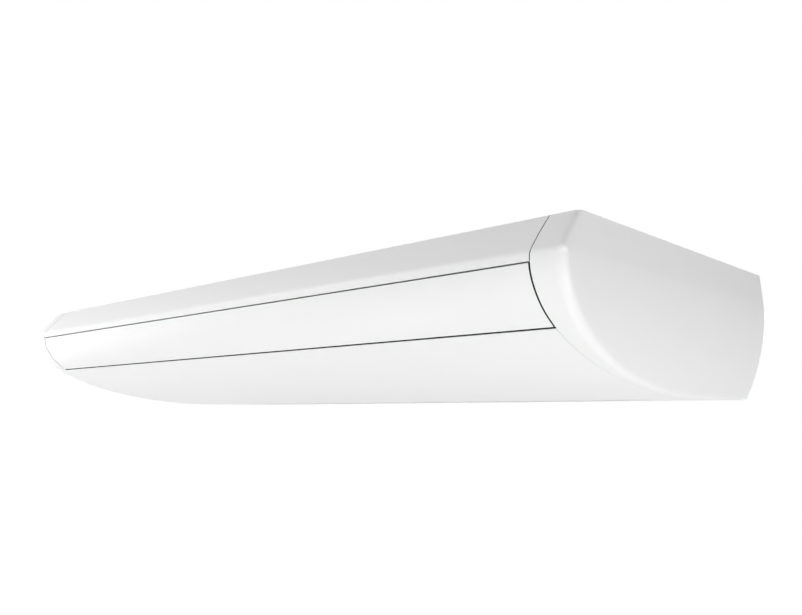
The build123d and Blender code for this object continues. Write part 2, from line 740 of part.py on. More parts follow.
def fan_wheel(x):
    """A forward-curved fan wheel: a disc, two rings and its blades."""
    half = WHEEL_LENGTH / 2
    wheel = bar(WHEEL_RADIUS - WHEEL_RING / 2, (x - WHEEL_DISC / 2, x + WHEEL_DISC / 2), FAN_Y, FAN_Z)
    wheel += bar(HUB_RADIUS, (x - HUB_LENGTH / 2, x + HUB_LENGTH / 2), FAN_Y, FAN_Z)
    rings = []
    for end in ((x - half, x - half + WHEEL_RING), (x + half - WHEEL_RING, x + half)):
        rim = bar(WHEEL_RADIUS, end, FAN_Y, FAN_Z) - bar(WHEEL_RADIUS - WHEEL_RING, end, FAN_Y, FAN_Z)
        rings.append(rim)
    reach = WHEEL_RADIUS - WHEEL_RING
    blades = []
    for number in range(BLADE_COUNT):
        place = Pos(x, FAN_Y, FAN_Z) * Rot(number * 360 / BLADE_COUNT, 0, 0) * Pos(0, reach, 0)
        blades.append(place * Rot(BLADE_PITCH, 0, 0) * Box(WHEEL_LENGTH, BLADE_CHORD, BLADE_WALL))
    tip = bar(WHEEL_RADIUS, (x - half, x + half), FAN_Y, FAN_Z)
    wheel += [blade & tip for blade in blades]
    wheel += rings
    return wheel - bar(SHAFT_RADIUS, (x - half, x + half), FAN_Y, FAN_Z)


def fan_motor():
    """The double-shaft fan motor."""
    half = FAN_MOTOR_LENGTH / 2
    motor = bar(FAN_MOTOR_RADIUS, (-half, half), FAN_Y, FAN_Z)
    motor = fillet(motor.edges(), WALL)
    motor += bar(HUB_RADIUS, (-half - FAN_MOTOR_NOSE, half + FAN_MOTOR_NOSE), FAN_Y, FAN_Z)
    return motor - bar(SHAFT_RADIUS + RUNNING, (-half - FAN_MOTOR_NOSE, half + FAN_MOTOR_NOSE), FAN_Y, FAN_Z)


def motor_bracket():
    """Two ring straps round the motor, hung from one foot plate."""
    outer = FAN_MOTOR_RADIUS + WALL
    reach = BRACKET_X + BRACKET_WIDTH / 2
    bracket = block((-reach, reach), (FAN_Y - HUB_RADIUS, FAN_Y + HUB_RADIUS), (CEILING - WALL, CEILING))
    for x in (-BRACKET_X, BRACKET_X):
        span = (x - BRACKET_WIDTH / 2, x + BRACKET_WIDTH / 2)
        bracket += bar(outer, span, FAN_Y, FAN_Z)
        bracket += block(span, (FAN_Y - WALL, FAN_Y + WALL), (FAN_Z + FAN_MOTOR_RADIUS, CEILING))
    return bracket - bar(FAN_MOTOR_RADIUS, (-reach, reach), FAN_Y, FAN_Z)


def shaft_bearing(x):
    """A shaft bearing in a holder that hangs from the top plate."""
    span = (x - BEARING_RADIUS / 2, x + BEARING_RADIUS / 2)
    holder = bar(BEARING_RADIUS, span, FAN_Y, FAN_Z)
    holder += block(span, (FAN_Y - BEARING_RADIUS / 2, FAN_Y + BEARING_RADIUS / 2), (FAN_Z, CEILING))
    return holder - bar(SHAFT_RADIUS + RUNNING, span, FAN_Y, FAN_Z)


def mirrored_pair(pair, sign):
    """A (low, high) pair on the left or the right of the middle."""
    return tuple(sorted(sign * value for value in pair))


def intake_frame():
    """The flat moulded frame of the underside, with two collared openings."""
    frame = block((-COVER_X, COVER_X), (FLAT + REST, BACK), (BOTTOM, BOTTOM + WALL))
    frame += block((-COVER_X, COVER_X), (FLAT + REST, FLAT + REST + WALL), (BOTTOM, BOTTOM + FLANGE_HEIGHT))
    collar = (BOTTOM, BOTTOM + COLLAR_HEIGHT)
    y = (GRILLE_Y[0] - WALL, GRILLE_Y[1] + WALL)
    for sign in (-1, 1):
        x = mirrored_pair(GRILLE_X, sign)
        wide = (x[0] - WALL, x[1] + WALL)
        frame += block(wide, y, collar)
        frame -= block(x, GRILLE_Y, collar)
        frame -= bar(GRILLE_PIN + RUNNING, wide, *GRILLE_HINGE)
        for place in latch_places(sign):
            half = TONGUE_WIDTH / 2 + SEAM
            z = (BOTTOM + TONGUE_Z - SEAM, BOTTOM + TONGUE_Z + TONGUE_WALL + SEAM)
            frame -= block((place - half, place + half), (y[0], GRILLE_Y[0]), z)
    for x in SCREW_X:
        frame -= screw(x, LINK_FIT)
    return frame


def screw(x, grow=0.0):
    """A countersunk screw that holds the intake frame to the back plate, or its hole when grown."""
    y = BACK - GRILLE_BACK_STRIP / 2 + WALL
    head = Cone(SCREW_HEAD + grow, SCREW_RADIUS + grow, SCREW_RADIUS)
    piece = Pos(x, y, BOTTOM + SCREW_RADIUS / 2) * head
    return piece + post(SCREW_RADIUS + grow, x, y, (BOTTOM + SCREW_RADIUS, BOTTOM + SCREW_LENGTH))


def latch_places(sign):
    """The X places of the two latches of a grille."""
    low, high = mirrored_pair(GRILLE_X, sign)
    return low + LATCH_INSET, high - LATCH_INSET


def grille_span(sign):
    """The (low, high) extent of a grille along X."""
    low, high = mirrored_pair(GRILLE_X, sign)
    return low + GRILLE_GAP, high - GRILLE_GAP


def latch_pocket(place, gap, travel):
    """The room of a latch, or with no gap and no travel the latch itself."""
    front = GRILLE_Y[0] + GRILLE_GAP
    y = front + GRILLE_FRONT_BORDER - LATCH_DEPTH - WALL
    half = LATCH_WIDTH / 2 + gap
    knob = block((place - half, place + half), (y - travel - gap, y + LATCH_DEPTH + gap),
                 (BOTTOM + SEAM, BOTTOM + SEAM + LATCH_HEIGHT + gap))
    half = TONGUE_WIDTH / 2 + gap
    tongue = block((place - half, place + half), (front + (0 if travel else 1), y + WALL),
                   (BOTTOM + TONGUE_Z - gap, BOTTOM + TONGUE_Z + TONGUE_WALL + gap))
    if travel:
        knob += block((place - LATCH_WIDTH / 2, place + LATCH_WIDTH / 2), (y - travel, y + LATCH_DEPTH),
                      (BOTTOM, BOTTOM + SEAM))
    return knob + tongue


def latch(place):
    """A sliding latch with finger ridges under its knob."""
    piece = latch_pocket(place, 0, 0)
    front = GRILLE_Y[0] + GRILLE_GAP
    y = front + GRILLE_FRONT_BORDER - LATCH_DEPTH - WALL
    for number in range(3):
        groove = y + LATCH_DEPTH * (number + 1) / 4
        half = LATCH_WIDTH / 2
        piece -= block((place - half, place + half), (groove - SEAM, groove + SEAM), (BOTTOM, BOTTOM + SHEET))
    return piece


def grille(sign):
    """A slatted intake grille, hinged along its back edge."""
    x = grille_span(sign)
    y = (GRILLE_Y[0] + GRILLE_GAP, GRILLE_HINGE[0])
    z = (BOTTOM, BOTTOM + GRILLE_THICKNESS)
    panel = block(x, y, z)
    inner_y = (y[0] + GRILLE_FRONT_BORDER, y[1] - GRILLE_BORDER)
    panel -= block((x[0] + GRILLE_BORDER, x[1] - GRILLE_BORDER), inner_y, z)
    slats = []
    for number in range(1, int((inner_y[1] - inner_y[0]) / SLAT_PITCH)):
        place = inner_y[0] + number * SLAT_PITCH
        slats.append(block(x, (place - SLAT_WALL / 2, place + SLAT_WALL / 2), z))
    for number in range(1, int((x[1] - x[0]) / RIB_PITCH)):
        place = x[0] + number * RIB_PITCH
        slats.append(block((place - SLAT_WALL / 2, place + SLAT_WALL / 2), inner_y,
                           (BOTTOM + SLAT_WALL, BOTTOM + GRILLE_THICKNESS)))
    panel += slats
    panel += bar(BARREL_RADIUS, x, *GRILLE_HINGE)
    panel += bar(GRILLE_PIN, (x[0] - GRILLE_GAP - WALL, x[1] + GRILLE_GAP + WALL), *GRILLE_HINGE)
    for place in latch_places(sign):
        panel -= latch_pocket(place, REST, LATCH_TRAVEL)
    return panel


def filter_screen(sign):
    """A framed dust filter that lies on its grille."""
    low, high = grille_span(sign)
    x = (low + GRILLE_BORDER, high - GRILLE_BORDER)
    y = (GRILLE_Y[0] + GRILLE_FRONT_BORDER, GRILLE_HINGE[0] - GRILLE_BORDER)
    base = BOTTOM + GRILLE_THICKNESS
    screen = block(x, y, (base, base + FILTER_THICKNESS))
    inside = ((x[0] + FILTER_BORDER, x[1] - FILTER_BORDER), (y[0] + FILTER_BORDER, y[1] - FILTER_BORDER))
    return screen - block(*inside, (base + MESH_WALL, base + FILTER_THICKNESS))


def top_plate():
    """The galvanised top plate."""
    start_y, _ = skin_point(brow_angle(DECK, WALL + REST), WALL + REST)
    plate = block((-OUTER_SIDE_X, OUTER_SIDE_X), (start_y, BACK - WALL - REST), (CEILING, DECK))
    return plate + block((-COVER_X, COVER_X), (start_y, INNER_BACK), (CEILING, DECK))


def back_sheet(x):
    """A stretch of the back wall with its bottom flange, drilled for the casing screws."""
    sheet = block(x, (INNER_BACK, BACK), (BOTTOM + WALL, DECK))
    y = (BACK - GRILLE_BACK_STRIP + 2 * WALL, INNER_BACK)
    sheet += block(x, y, (BOTTOM + WALL, BOTTOM + WALL + SHEET))
    for place in SCREW_X:
        if x[0] < place < x[1]:
            sheet -= screw(place, LINK_FIT)
    return sheet


def back_plate():
    """The long back plate with the cable hole."""
    plate = back_sheet((PIPE_PLATE_X + REST, COVER_X))
    return plate - rod_y(GROMMET_RADIUS, GROMMET_X, (INNER_BACK, BACK), TOP - GROMMET_BELOW_TOP)


def pipe_plate():
    """The short back plate with the window for the pipes and the drain."""
    high = BOTTOM + PIPE_OUTLET_HEIGHT + PIPE_BEND
    window = block((LIQUID_X - PIPE_BEND, DRAIN_X + PIPE_BEND), (INNER_BACK, BACK), (BOTTOM + DRAIN_RADIUS, high))
    return back_sheet((-COVER_X, PIPE_PLATE_X)) - window


def cable_grommet():
    """The rubber grommet of the cable hole."""
    z = TOP - GROMMET_BELOW_TOP
    ring = rod_y(GROMMET_RADIUS, GROMMET_X, (INNER_BACK - WALL, BACK), z)
    ring += rod_y(GROMMET_RADIUS + WALL, GROMMET_X, (INNER_BACK - WALL, INNER_BACK), z)
    return ring - rod_y(GROMMET_BORE, GROMMET_X, (INNER_BACK - WALL, BACK), z)


BOX_SPAN_Y = (FRONT + BOX_Y[0], FRONT + BOX_Y[1])


def control_box():
    """The sheet-metal control box, open below, with spacers for the board."""
    z = (CEILING - BOX_HEIGHT, CEILING)
    inside = [(low + SHEET, high - SHEET) for low, high in (BOX_X, BOX_SPAN_Y)]
    case = block(BOX_X, BOX_SPAN_Y, z) - block(*inside, (z[0], z[1] - SHEET))
    for x in (BOX_X[0] + 2 * BOARD_MARGIN, BOX_X[1] - 2 * BOARD_MARGIN):
        for y in (BOX_SPAN_Y[0] + 2 * BOARD_MARGIN, BOX_SPAN_Y[1] - 2 * BOARD_MARGIN):
            case += post(WALL, x, y, (CEILING - BOARD_DROP, CEILING))
    return case


def control_cover():
    """The cover that closes the control box from below."""
    low = CEILING - BOX_HEIGHT
    return block(BOX_X, BOX_SPAN_Y, (low - SHEET, low))


def circuit_board():
    """The circuit board with its relays, capacitors and heat sink."""
    x = (BOX_X[0] + BOARD_MARGIN, BOX_X[1] - BOARD_MARGIN)
    y = (BOX_SPAN_Y[0] + BOARD_MARGIN, BOX_SPAN_Y[1] - BOARD_MARGIN)
    high = CEILING - BOARD_DROP
    low = high - BOARD_WALL
    board = block(x, y, (low, high))
    for number in range(3):
        board += post(BEARING_RADIUS / 2, x[0] + 14 + 22 * number, y[1] - 20, (low - 30, low))
        board += block((x[0] + 10 + 26 * number, x[0] + 28 + 26 * number), (y[0] + 50, y[0] + 66), (low - 14, low))
    board += block((x[0] + 10, x[1] - 30), (y[0] + 90, y[0] + 130), (low - 18, low))
    return board


def terminal_block():
    """The terminal block on the back wall of the control box."""
    y = (BOX_SPAN_Y[1] - SHEET - 16, BOX_SPAN_Y[1] - SHEET)
    z = (CEILING - BOX_HEIGHT + 4, CEILING - BOX_HEIGHT + 24)
    piece = block((BOX_X[0] + 24, BOX_X[1] - 24), y, z)
    for number in range(4):
        x = BOX_X[0] + 34 + 14 * number
        piece -= block((x - 4, x + 4), (y[0], y[0] + 10), (z[0], z[0] + 10))
    return piece


os.makedirs("parts", exist_ok=True)

for side in SIDES:
    save(f"end_cap_{side}", on_side(side, end_cap()))
    save(f"hanger_{side}", on_side(side, hanger()))
    save(f"intake_grille_{side}", grille(SIDES[side]))
    save(f"air_filter_{side}", filter_screen(SIDES[side]))
    for name, place in zip(("low_x", "high_x"), latch_places(SIDES[side])):
        save(f"latch_{side}_{name}", latch(place))
    save(f"side_plate_{side}", on_side(side, side_plate()))
save("hanger_bolts", *[hanger_bolt(side, y) for side in SIDES for y in HANGER_BOLT_Y])
save("top_plate", top_plate())
save("back_plate", back_plate())
save("pipe_plate", pipe_plate())
save("front_cover", front_cover())
save("lower_panel", lower_panel())
save("intake_frame", intake_frame())
save("casing_screws", *[screw(x) for x in SCREW_X])
save("outlet_flap", flap())
save("flap_supports", *[flap_support(x) for x in SUPPORT_X])
save("flap_motor", flap_motor())
save("outlet_rail", outlet_rail())
save("air_guide", air_guide())
for number in range(VANE_COUNT):
    save(f"vane_{number + 1:02d}", vane(number))
save("tie_bar_left", tie_bar(range(VANE_COUNT // 2)))
save("tie_bar_right", tie_bar(range(VANE_COUNT // 2, VANE_COUNT)))
save("vane_motors", vane_motor(0), vane_motor(VANE_COUNT - 1))
save("drain_pan", drain_pan())
save("drain_pipe", drain_pipe())
save("coil_fins", coil_fins())
save("coil_end_plates", coil_end_plate((COIL_X[0] - SIDE_SHEET, COIL_X[0])),
     coil_end_plate((COIL_X[1], COIL_X[1] + SIDE_SHEET)))
save("coil_tubes", coil_tubes())
UNION_START = INNER_BACK - WALL - UNION_LENGTH - UNION_BODY
save("liquid_pipe", pipe(LIQUID_PIPE, -1, LIQUID_X, UNION_START))
save("gas_pipe", pipe(GAS_PIPE, 1, GAS_X, UNION_START))
save("pipe_unions", pipe_union(LIQUID_PIPE, LIQUID_THREAD, LIQUID_X), pipe_union(GAS_PIPE, GAS_THREAD, GAS_X))
save("fan_partition", fan_partition())
save("scroll_housings", *[scroll_housing(x) for x in FAN_X])
save("fan_wheels", *[fan_wheel(x) for x in FAN_X])
save("fan_shaft", bar(SHAFT_RADIUS, (-SHAFT_REACH, SHAFT_REACH), FAN_Y, FAN_Z))
save("fan_motor", fan_motor())
save("motor_bracket", motor_bracket())
save("shaft_bearings", shaft_bearing(-BEARING_X), shaft_bearing(BEARING_X))
save("control_box", control_box())
save("control_cover", control_cover())
save("circuit_board", circuit_board())
save("terminal_block", terminal_block())
save("cable_grommet", cable_grommet())
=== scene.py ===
import json
import logging
from dataclasses import dataclass, field
from enum import Enum
from math import acos, asin, ceil, cos, degrees, pi, radians, sin, sqrt, tan
from typing import Any

import bmesh
import bpy
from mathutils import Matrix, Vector
from mathutils.geometry import delaunay_2d_cdt


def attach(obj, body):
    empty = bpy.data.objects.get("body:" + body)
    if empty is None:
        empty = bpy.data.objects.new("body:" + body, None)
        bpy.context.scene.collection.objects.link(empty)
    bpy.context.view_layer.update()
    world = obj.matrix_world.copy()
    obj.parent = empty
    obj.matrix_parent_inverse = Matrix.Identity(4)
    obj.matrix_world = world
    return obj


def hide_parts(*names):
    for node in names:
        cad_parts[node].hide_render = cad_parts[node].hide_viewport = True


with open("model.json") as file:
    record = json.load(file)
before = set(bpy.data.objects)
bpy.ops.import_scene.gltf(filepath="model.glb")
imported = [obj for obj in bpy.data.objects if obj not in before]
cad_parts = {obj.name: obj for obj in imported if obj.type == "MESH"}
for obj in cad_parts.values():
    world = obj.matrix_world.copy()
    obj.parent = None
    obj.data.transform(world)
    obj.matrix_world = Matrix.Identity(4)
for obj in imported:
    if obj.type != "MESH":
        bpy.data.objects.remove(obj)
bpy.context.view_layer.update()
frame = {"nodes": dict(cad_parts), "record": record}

MM = 0.001
# Turned and drawn lines run 50 times as long as they are wide.
LINE_STRETCH = 50.0
# Spark-eroded mould texture is about 0.3 mm wide; at 1.5 mm it still shows in a render of this size.
MOULD_TEXTURE_MM = 1.5
ROUNDING_SEGMENTS = 3
SHORTEST_SIDE = 1e-9
MERGE_DISTANCE = 1e-6
log = logging.getLogger("indoor_unit")

YZ = tuple[float, float]
Outline = list[YZ]
Span = tuple[float, float]


def linear(code: str) -> tuple[float, float, float, float]:
    """Turn an sRGB hex colour into the linear colour that Blender's shaders take.

    Args:
        code: The colour as "#RRGGBB".

    Returns:
        Red, green, blue and an alpha of 1, each from 0 to 1.
    """
    values = [int(code[place:place + 2], 16) / 255 for place in (1, 3, 5)]
    red, green, blue = [v / 12.92 if v <= 0.04045 else ((v + 0.055) / 1.055) ** 2.4 for v in values]
    return red, green, blue, 1.0


def add_node(tree: bpy.types.NodeTree, kind: str, settings: dict[str, Any] | None = None,
             links: dict[str, bpy.types.NodeSocket] | None = None) -> bpy.types.Node:
    """Add one node to a tree, with its settings and its incoming links.

    Args:
        tree: The node tree.
        kind: Blender's name of the node type.
        settings: Values by name; a name with a leading "@" is a property, any other is an input socket.
        links: The socket that feeds each named input.

    Returns:
        The new node.
    """
    node = tree.nodes.new(kind)
    for name, value in (settings or {}).items():
        if name.startswith("@"):
            setattr(node, name[1:], value)
        else:
            node.inputs[name].default_value = value
    for name, source in (links or {}).items():
        tree.links.new(source, node.inputs[name])
    return node


class Pattern(Enum):
    """How the surface of a material was made, which decides its grain."""

    MOULDED = "moulded"
    BRUSHED = "brushed"
    SPANGLED = "spangled"
    BEADED = "beaded"
    WOVEN = "woven"
    FINNED = "finned"
    DRAWN = "drawn"
    PLAIN = "plain"


@dataclass(frozen=True)
class Finish:
    """One material as it is bought, and how its surface was made."""

    name: str
    colour: str
    shade: str
    pattern: Pattern
    grain_mm: float
    roughness: float
    roughness_spread: float = 0.05
    relief_mm: float = 0.02
    metallic: float = 0.0
    ior: float = 1.5
    specular: float = 0.5

    def dress(self) -> bpy.types.Material:
        """Build the procedural material.

        Returns:
            The new material.
        """
        material = bpy.data.materials.new(self.name)
        material.use_nodes = True
        tree = material.node_tree
        shader = tree.nodes["Principled BSDF"]
        shader.inputs["Metallic"].default_value = self.metallic
        shader.inputs["IOR"].default_value = self.ior
        shader.inputs["Specular IOR Level"].default_value = self.specular
        place = add_node(tree, "ShaderNodeTexCoord").outputs["Object"]
        grain = self.grain(tree, place)
        colour = add_node(tree, "ShaderNodeMix", {"@data_type": "RGBA"}, {"Factor": grain})
        colour.inputs["A"].default_value = linear(self.shade)
        colour.inputs["B"].default_value = linear(self.colour)
        tree.links.new(colour.outputs["Result"], shader.inputs["Base Color"])
        low = self.roughness - self.roughness_spread
        high = self.roughness + self.roughness_spread
        rough = add_node(tree, "ShaderNodeMapRange", {"To Min": low, "To Max": high}, {"Value": grain})
        tree.links.new(rough.outputs["Result"], shader.inputs["Roughness"])
        bump = add_node(tree, "ShaderNodeBump", {"Strength": 1.0, "Distance": self.relief_mm * MM},
                        {"Height": self.relief(tree, place, grain)})
        tree.links.new(bump.outputs["Normal"], shader.inputs["Normal"])
        return material

    def grain(self, tree: bpy.types.NodeTree, place: bpy.types.NodeSocket) -> bpy.types.NodeSocket:
        """Build the pattern that mixes the two colours.

        Args:
            tree: The node tree of the material.
            place: The place on the piece, in metres.

        Returns:
            A value from 0 to 1 over the surface.
        """
        scale = 1 / (self.grain_mm * MM)
        if self.pattern is Pattern.SPANGLED:
            cells = add_node(tree, "ShaderNodeTexVoronoi", {"Scale": scale}, {"Vector": place})
            return cells.outputs["Color"]
        if self.pattern is Pattern.BEADED:
            settings = {"@feature": "SMOOTH_F1", "Scale": scale}
            cells = add_node(tree, "ShaderNodeTexVoronoi", settings, {"Vector": place})
            return cells.outputs["Distance"]
        if self.pattern is Pattern.WOVEN:
            threads = [self.bands(tree, place, axis) for axis in ("X", "Y")]
            return self.larger(tree, threads)
        if self.pattern is Pattern.FINNED:
            return self.bands(tree, place, "X")
        if self.pattern in (Pattern.BRUSHED, Pattern.DRAWN):
            stretch = {"Scale": (1 / LINE_STRETCH, 1.0, 1.0)}
            place = add_node(tree, "ShaderNodeMapping", stretch, {"Vector": place}).outputs["Vector"]
        noise = add_node(tree, "ShaderNodeTexNoise", {"Scale": scale, "Detail": 3.0}, {"Vector": place})
        return noise.outputs["Fac"]

    def bands(self, tree: bpy.types.NodeTree, place: bpy.types.NodeSocket,
              axis: str) -> bpy.types.NodeSocket:
        """Build evenly spaced bands across one axis.

        Args:
            tree: The node tree of the material.
            place: The place on the piece, in metres.
            axis: The axis that the bands repeat along.

        Returns:
            A value from 0 between the bands to 1 on them.
        """
        # A wave at a scale of 1 repeats every pi / 10 m.
        scale = pi / 10 / (self.grain_mm * MM)
        settings = {"@bands_direction": axis, "Scale": scale}
        wave = add_node(tree, "ShaderNodeTexWave", settings, {"Vector": place})
        return wave.outputs["Fac"]

    def larger(self, tree: bpy.types.NodeTree, pair: list[bpy.types.NodeSocket]) -> bpy.types.NodeSocket:
        """Give the larger of two values at each place.

        Args:
            tree: The node tree of the material.
            pair: The two values.

        Returns:
            The larger value.
        """
        node = add_node(tree, "ShaderNodeMath", {"@operation": "MAXIMUM"})
        for socket, source in zip(node.inputs, pair):
            tree.links.new(source, socket)
        return node.outputs["Value"]

    def relief(self, tree: bpy.types.NodeTree, place: bpy.types.NodeSocket,
               grain: bpy.types.NodeSocket) -> bpy.types.NodeSocket:
        """Build the height of the fine relief.

        Args:
            tree: The node tree of the material.
            place: The place on the piece, in metres.
            grain: The pattern of the colours.

        Returns:
            The height, from 0 to 1.
        """
        if self.pattern is not Pattern.MOULDED:
            return grain
        settings = {"Scale": 1 / (MOULD_TEXTURE_MM * MM), "Detail": 2.0}
        return add_node(tree, "ShaderNodeTexNoise", settings, {"Vector": place}).outputs["Fac"]


# ABS, injection moulded against a fine matt tool: bright, satin, with a soft highlight.
CASING = Finish("abs_moulded_white", "#F5F6F5", "#F2F3F2", Pattern.MOULDED, 160.0, 0.46, 0.03,
                0.004, ior=1.53, specular=0.32)
# The same plastic in light grey, with the catches' duller tool finish.
LATCH = Finish("abs_moulded_light_grey", "#C9CCCC", "#C3C6C6", Pattern.MOULDED, 30.0, 0.5, 0.04,
               0.006, ior=1.53)
# Polypropylene, moulded: greyer than the casing and a little waxy.
VANE = Finish("polypropylene_moulded_grey", "#D6D8D6", "#CDCFCD", Pattern.MOULDED, 40.0, 0.46, 0.05,
              0.006, ior=1.49)
# Woven polypropylene net: paler threads 1.6 mm apart; the near-black between them is painted shade seen
# through the gaps.
FILTER = Finish("polypropylene_woven_net", "#6E7880", "#15181B", Pattern.WOVEN, 1.6, 0.6, 0.05,
                0.25, ior=1.49)
# Hot-dip galvanised sheet: spangles of 12 mm, each a slightly different grey.
GALVANISED = Finish("galvanised_sheet_spangled", "#B9BEC1", "#9BA1A4", Pattern.SPANGLED, 12.0, 0.36,
                    0.08, 0.004, metallic=1.0)
# Steel screws and bolts with a clear zinc plating, turned.
ZINC = Finish("zinc_plated_steel_turned", "#C2C3BE", "#A3A49F", Pattern.BRUSHED, 0.5, 0.3, 0.06,
              0.006, metallic=1.0)
# Expanded polystyrene: beads of 3.5 mm pressed together, dull and soft.
FOAM = Finish("expanded_polystyrene_beads", "#D9D9D5", "#F0F0EC", Pattern.BEADED, 3.5, 0.85, 0.04,
              0.35, ior=1.55)
# Rigid PVC tube, extruded: a slightly cloudy grey.
PVC = Finish("pvc_extruded_grey", "#A9ACAE", "#9FA2A4", Pattern.PLAIN, 20.0, 0.4, 0.04, 0.01, ior=1.54)
# Soft copper tube, drawn: warm and slightly tarnished.
COPPER = Finish("copper_drawn_tarnished", "#C07A54", "#8E5136", Pattern.PLAIN, 14.0, 0.3, 0.1, 0.01,
                metallic=1.0)
# Brass flare unions, turned: bright, with fine lines round them.
BRASS = Finish("brass_turned", "#C9A45C", "#A9833F", Pattern.BRUSHED, 0.6, 0.28, 0.06, 0.008, metallic=1.0)
# Aluminium fins, stamped: the real pitch is 1.4 mm, drawn at 2.4 mm so that it shows. The near-black
# between the bands is painted shade in the gaps between the fins.
FINS = Finish("aluminium_fins_stamped", "#C5CBCF", "#23262A", Pattern.FINNED, 2.4, 0.35, 0.05, 0.5,
              metallic=0.9)
# Polypropylene, moulded, for the scrolls: grey and a little dull.
SCROLL = Finish("polypropylene_moulded_scroll", "#BFC2C3", "#B4B7B8", Pattern.MOULDED, 50.0, 0.5,
                0.05, 0.01, ior=1.49)
# Glass-filled polyamide, moulded, for the wheels: near black, satin.
WHEEL = Finish("polyamide_moulded_black", "#2C2E30", "#222426", Pattern.MOULDED, 30.0, 0.5, 0.06,
               0.01, ior=1.53)
# Ground steel shaft: bright, with fine lines along it.
SHAFT = Finish("steel_ground", "#B4B5B7", "#97989A", Pattern.DRAWN, 0.4, 0.22, 0.05, 0.003, metallic=1.0)
# Powder-coated motor case: black with a fine orange peel of 1.2 mm.
MOTOR = Finish("powder_coated_steel_black", "#262729", "#1E1F21", Pattern.PLAIN, 1.2, 0.42, 0.05,
               0.03, ior=1.5)
# Nickel-plated cans of the stepping motors, drawn: smooth and shiny.
STEPPER = Finish("nickel_plated_can_drawn", "#BDBFC0", "#A4A6A7", Pattern.PLAIN, 6.0, 0.25, 0.05,
                 0.004, metallic=1.0)
# Black rubber, moulded: dull, for the bearings; also used for the thin black strips in the seams, which are
# painted shade.
RUBBER = Finish("rubber_moulded_black", "#18191A", "#101112", Pattern.PLAIN, 4.0, 0.75, 0.08, 0.03,
                ior=1.52)
# Glass-fibre laminate with solder resist: green and fairly glossy.
LAMINATE = Finish("glass_fibre_laminate_green", "#1F6B3A", "#164F2B", Pattern.PLAIN, 3.0, 0.3, 0.08,
                  0.01, ior=1.55)
# Phenolic, moulded, for the terminal block: near black, satin.
PHENOLIC = Finish("phenolic_moulded_black", "#232426", "#1A1B1C", Pattern.PLAIN, 5.0, 0.45, 0.05,
                  0.01, ior=1.6)

FINISHES: dict[str, Finish] = {
    "casing_plastic": CASING,
    "latch_plastic": LATCH,
    "vane_plastic": VANE,
    "filter_mesh": FILTER,
    "galvanised_sheet": GALVANISED,
    "zinc_fasteners": ZINC,
    "foam": FOAM,
    "drain_plastic": PVC,
    "copper": COPPER,
    "union_brass": BRASS,
    "fin_aluminium": FINS,
    "scroll_plastic": SCROLL,
    "wheel_plastic": WHEEL,
    "shaft_steel": SHAFT,
    "motor_housing": MOTOR,
    "stepper_case": STEPPER,
    "bearing_rubber": RUBBER,
    "circuit_laminate": LAMINATE,
    "terminal_plastic": PHENOLIC,
}


class Palette:
    """The finished materials, one for each material slot of the record."""

    def __init__(self) -> None:
        """Build every material once."""
        self.materials = {slot: finish.dress() for slot, finish in FINISHES.items()}

    def dress_nodes(self, skipped: set[str]) -> None:
        """Give every carried-over CAD node the finish of its slot.

        Args:
            skipped: The nodes that a Blender piece replaces.
        """
        for part in frame["record"]["subparts"]:
            if part["node"] in skipped:
                continue
            node = frame["nodes"][part["node"]]
            for slot in node.material_slots:
                slot.material = self.materials[part["material_slot"]]
            log.info("carried over %s with %s", part["node"], part["material_slot"])


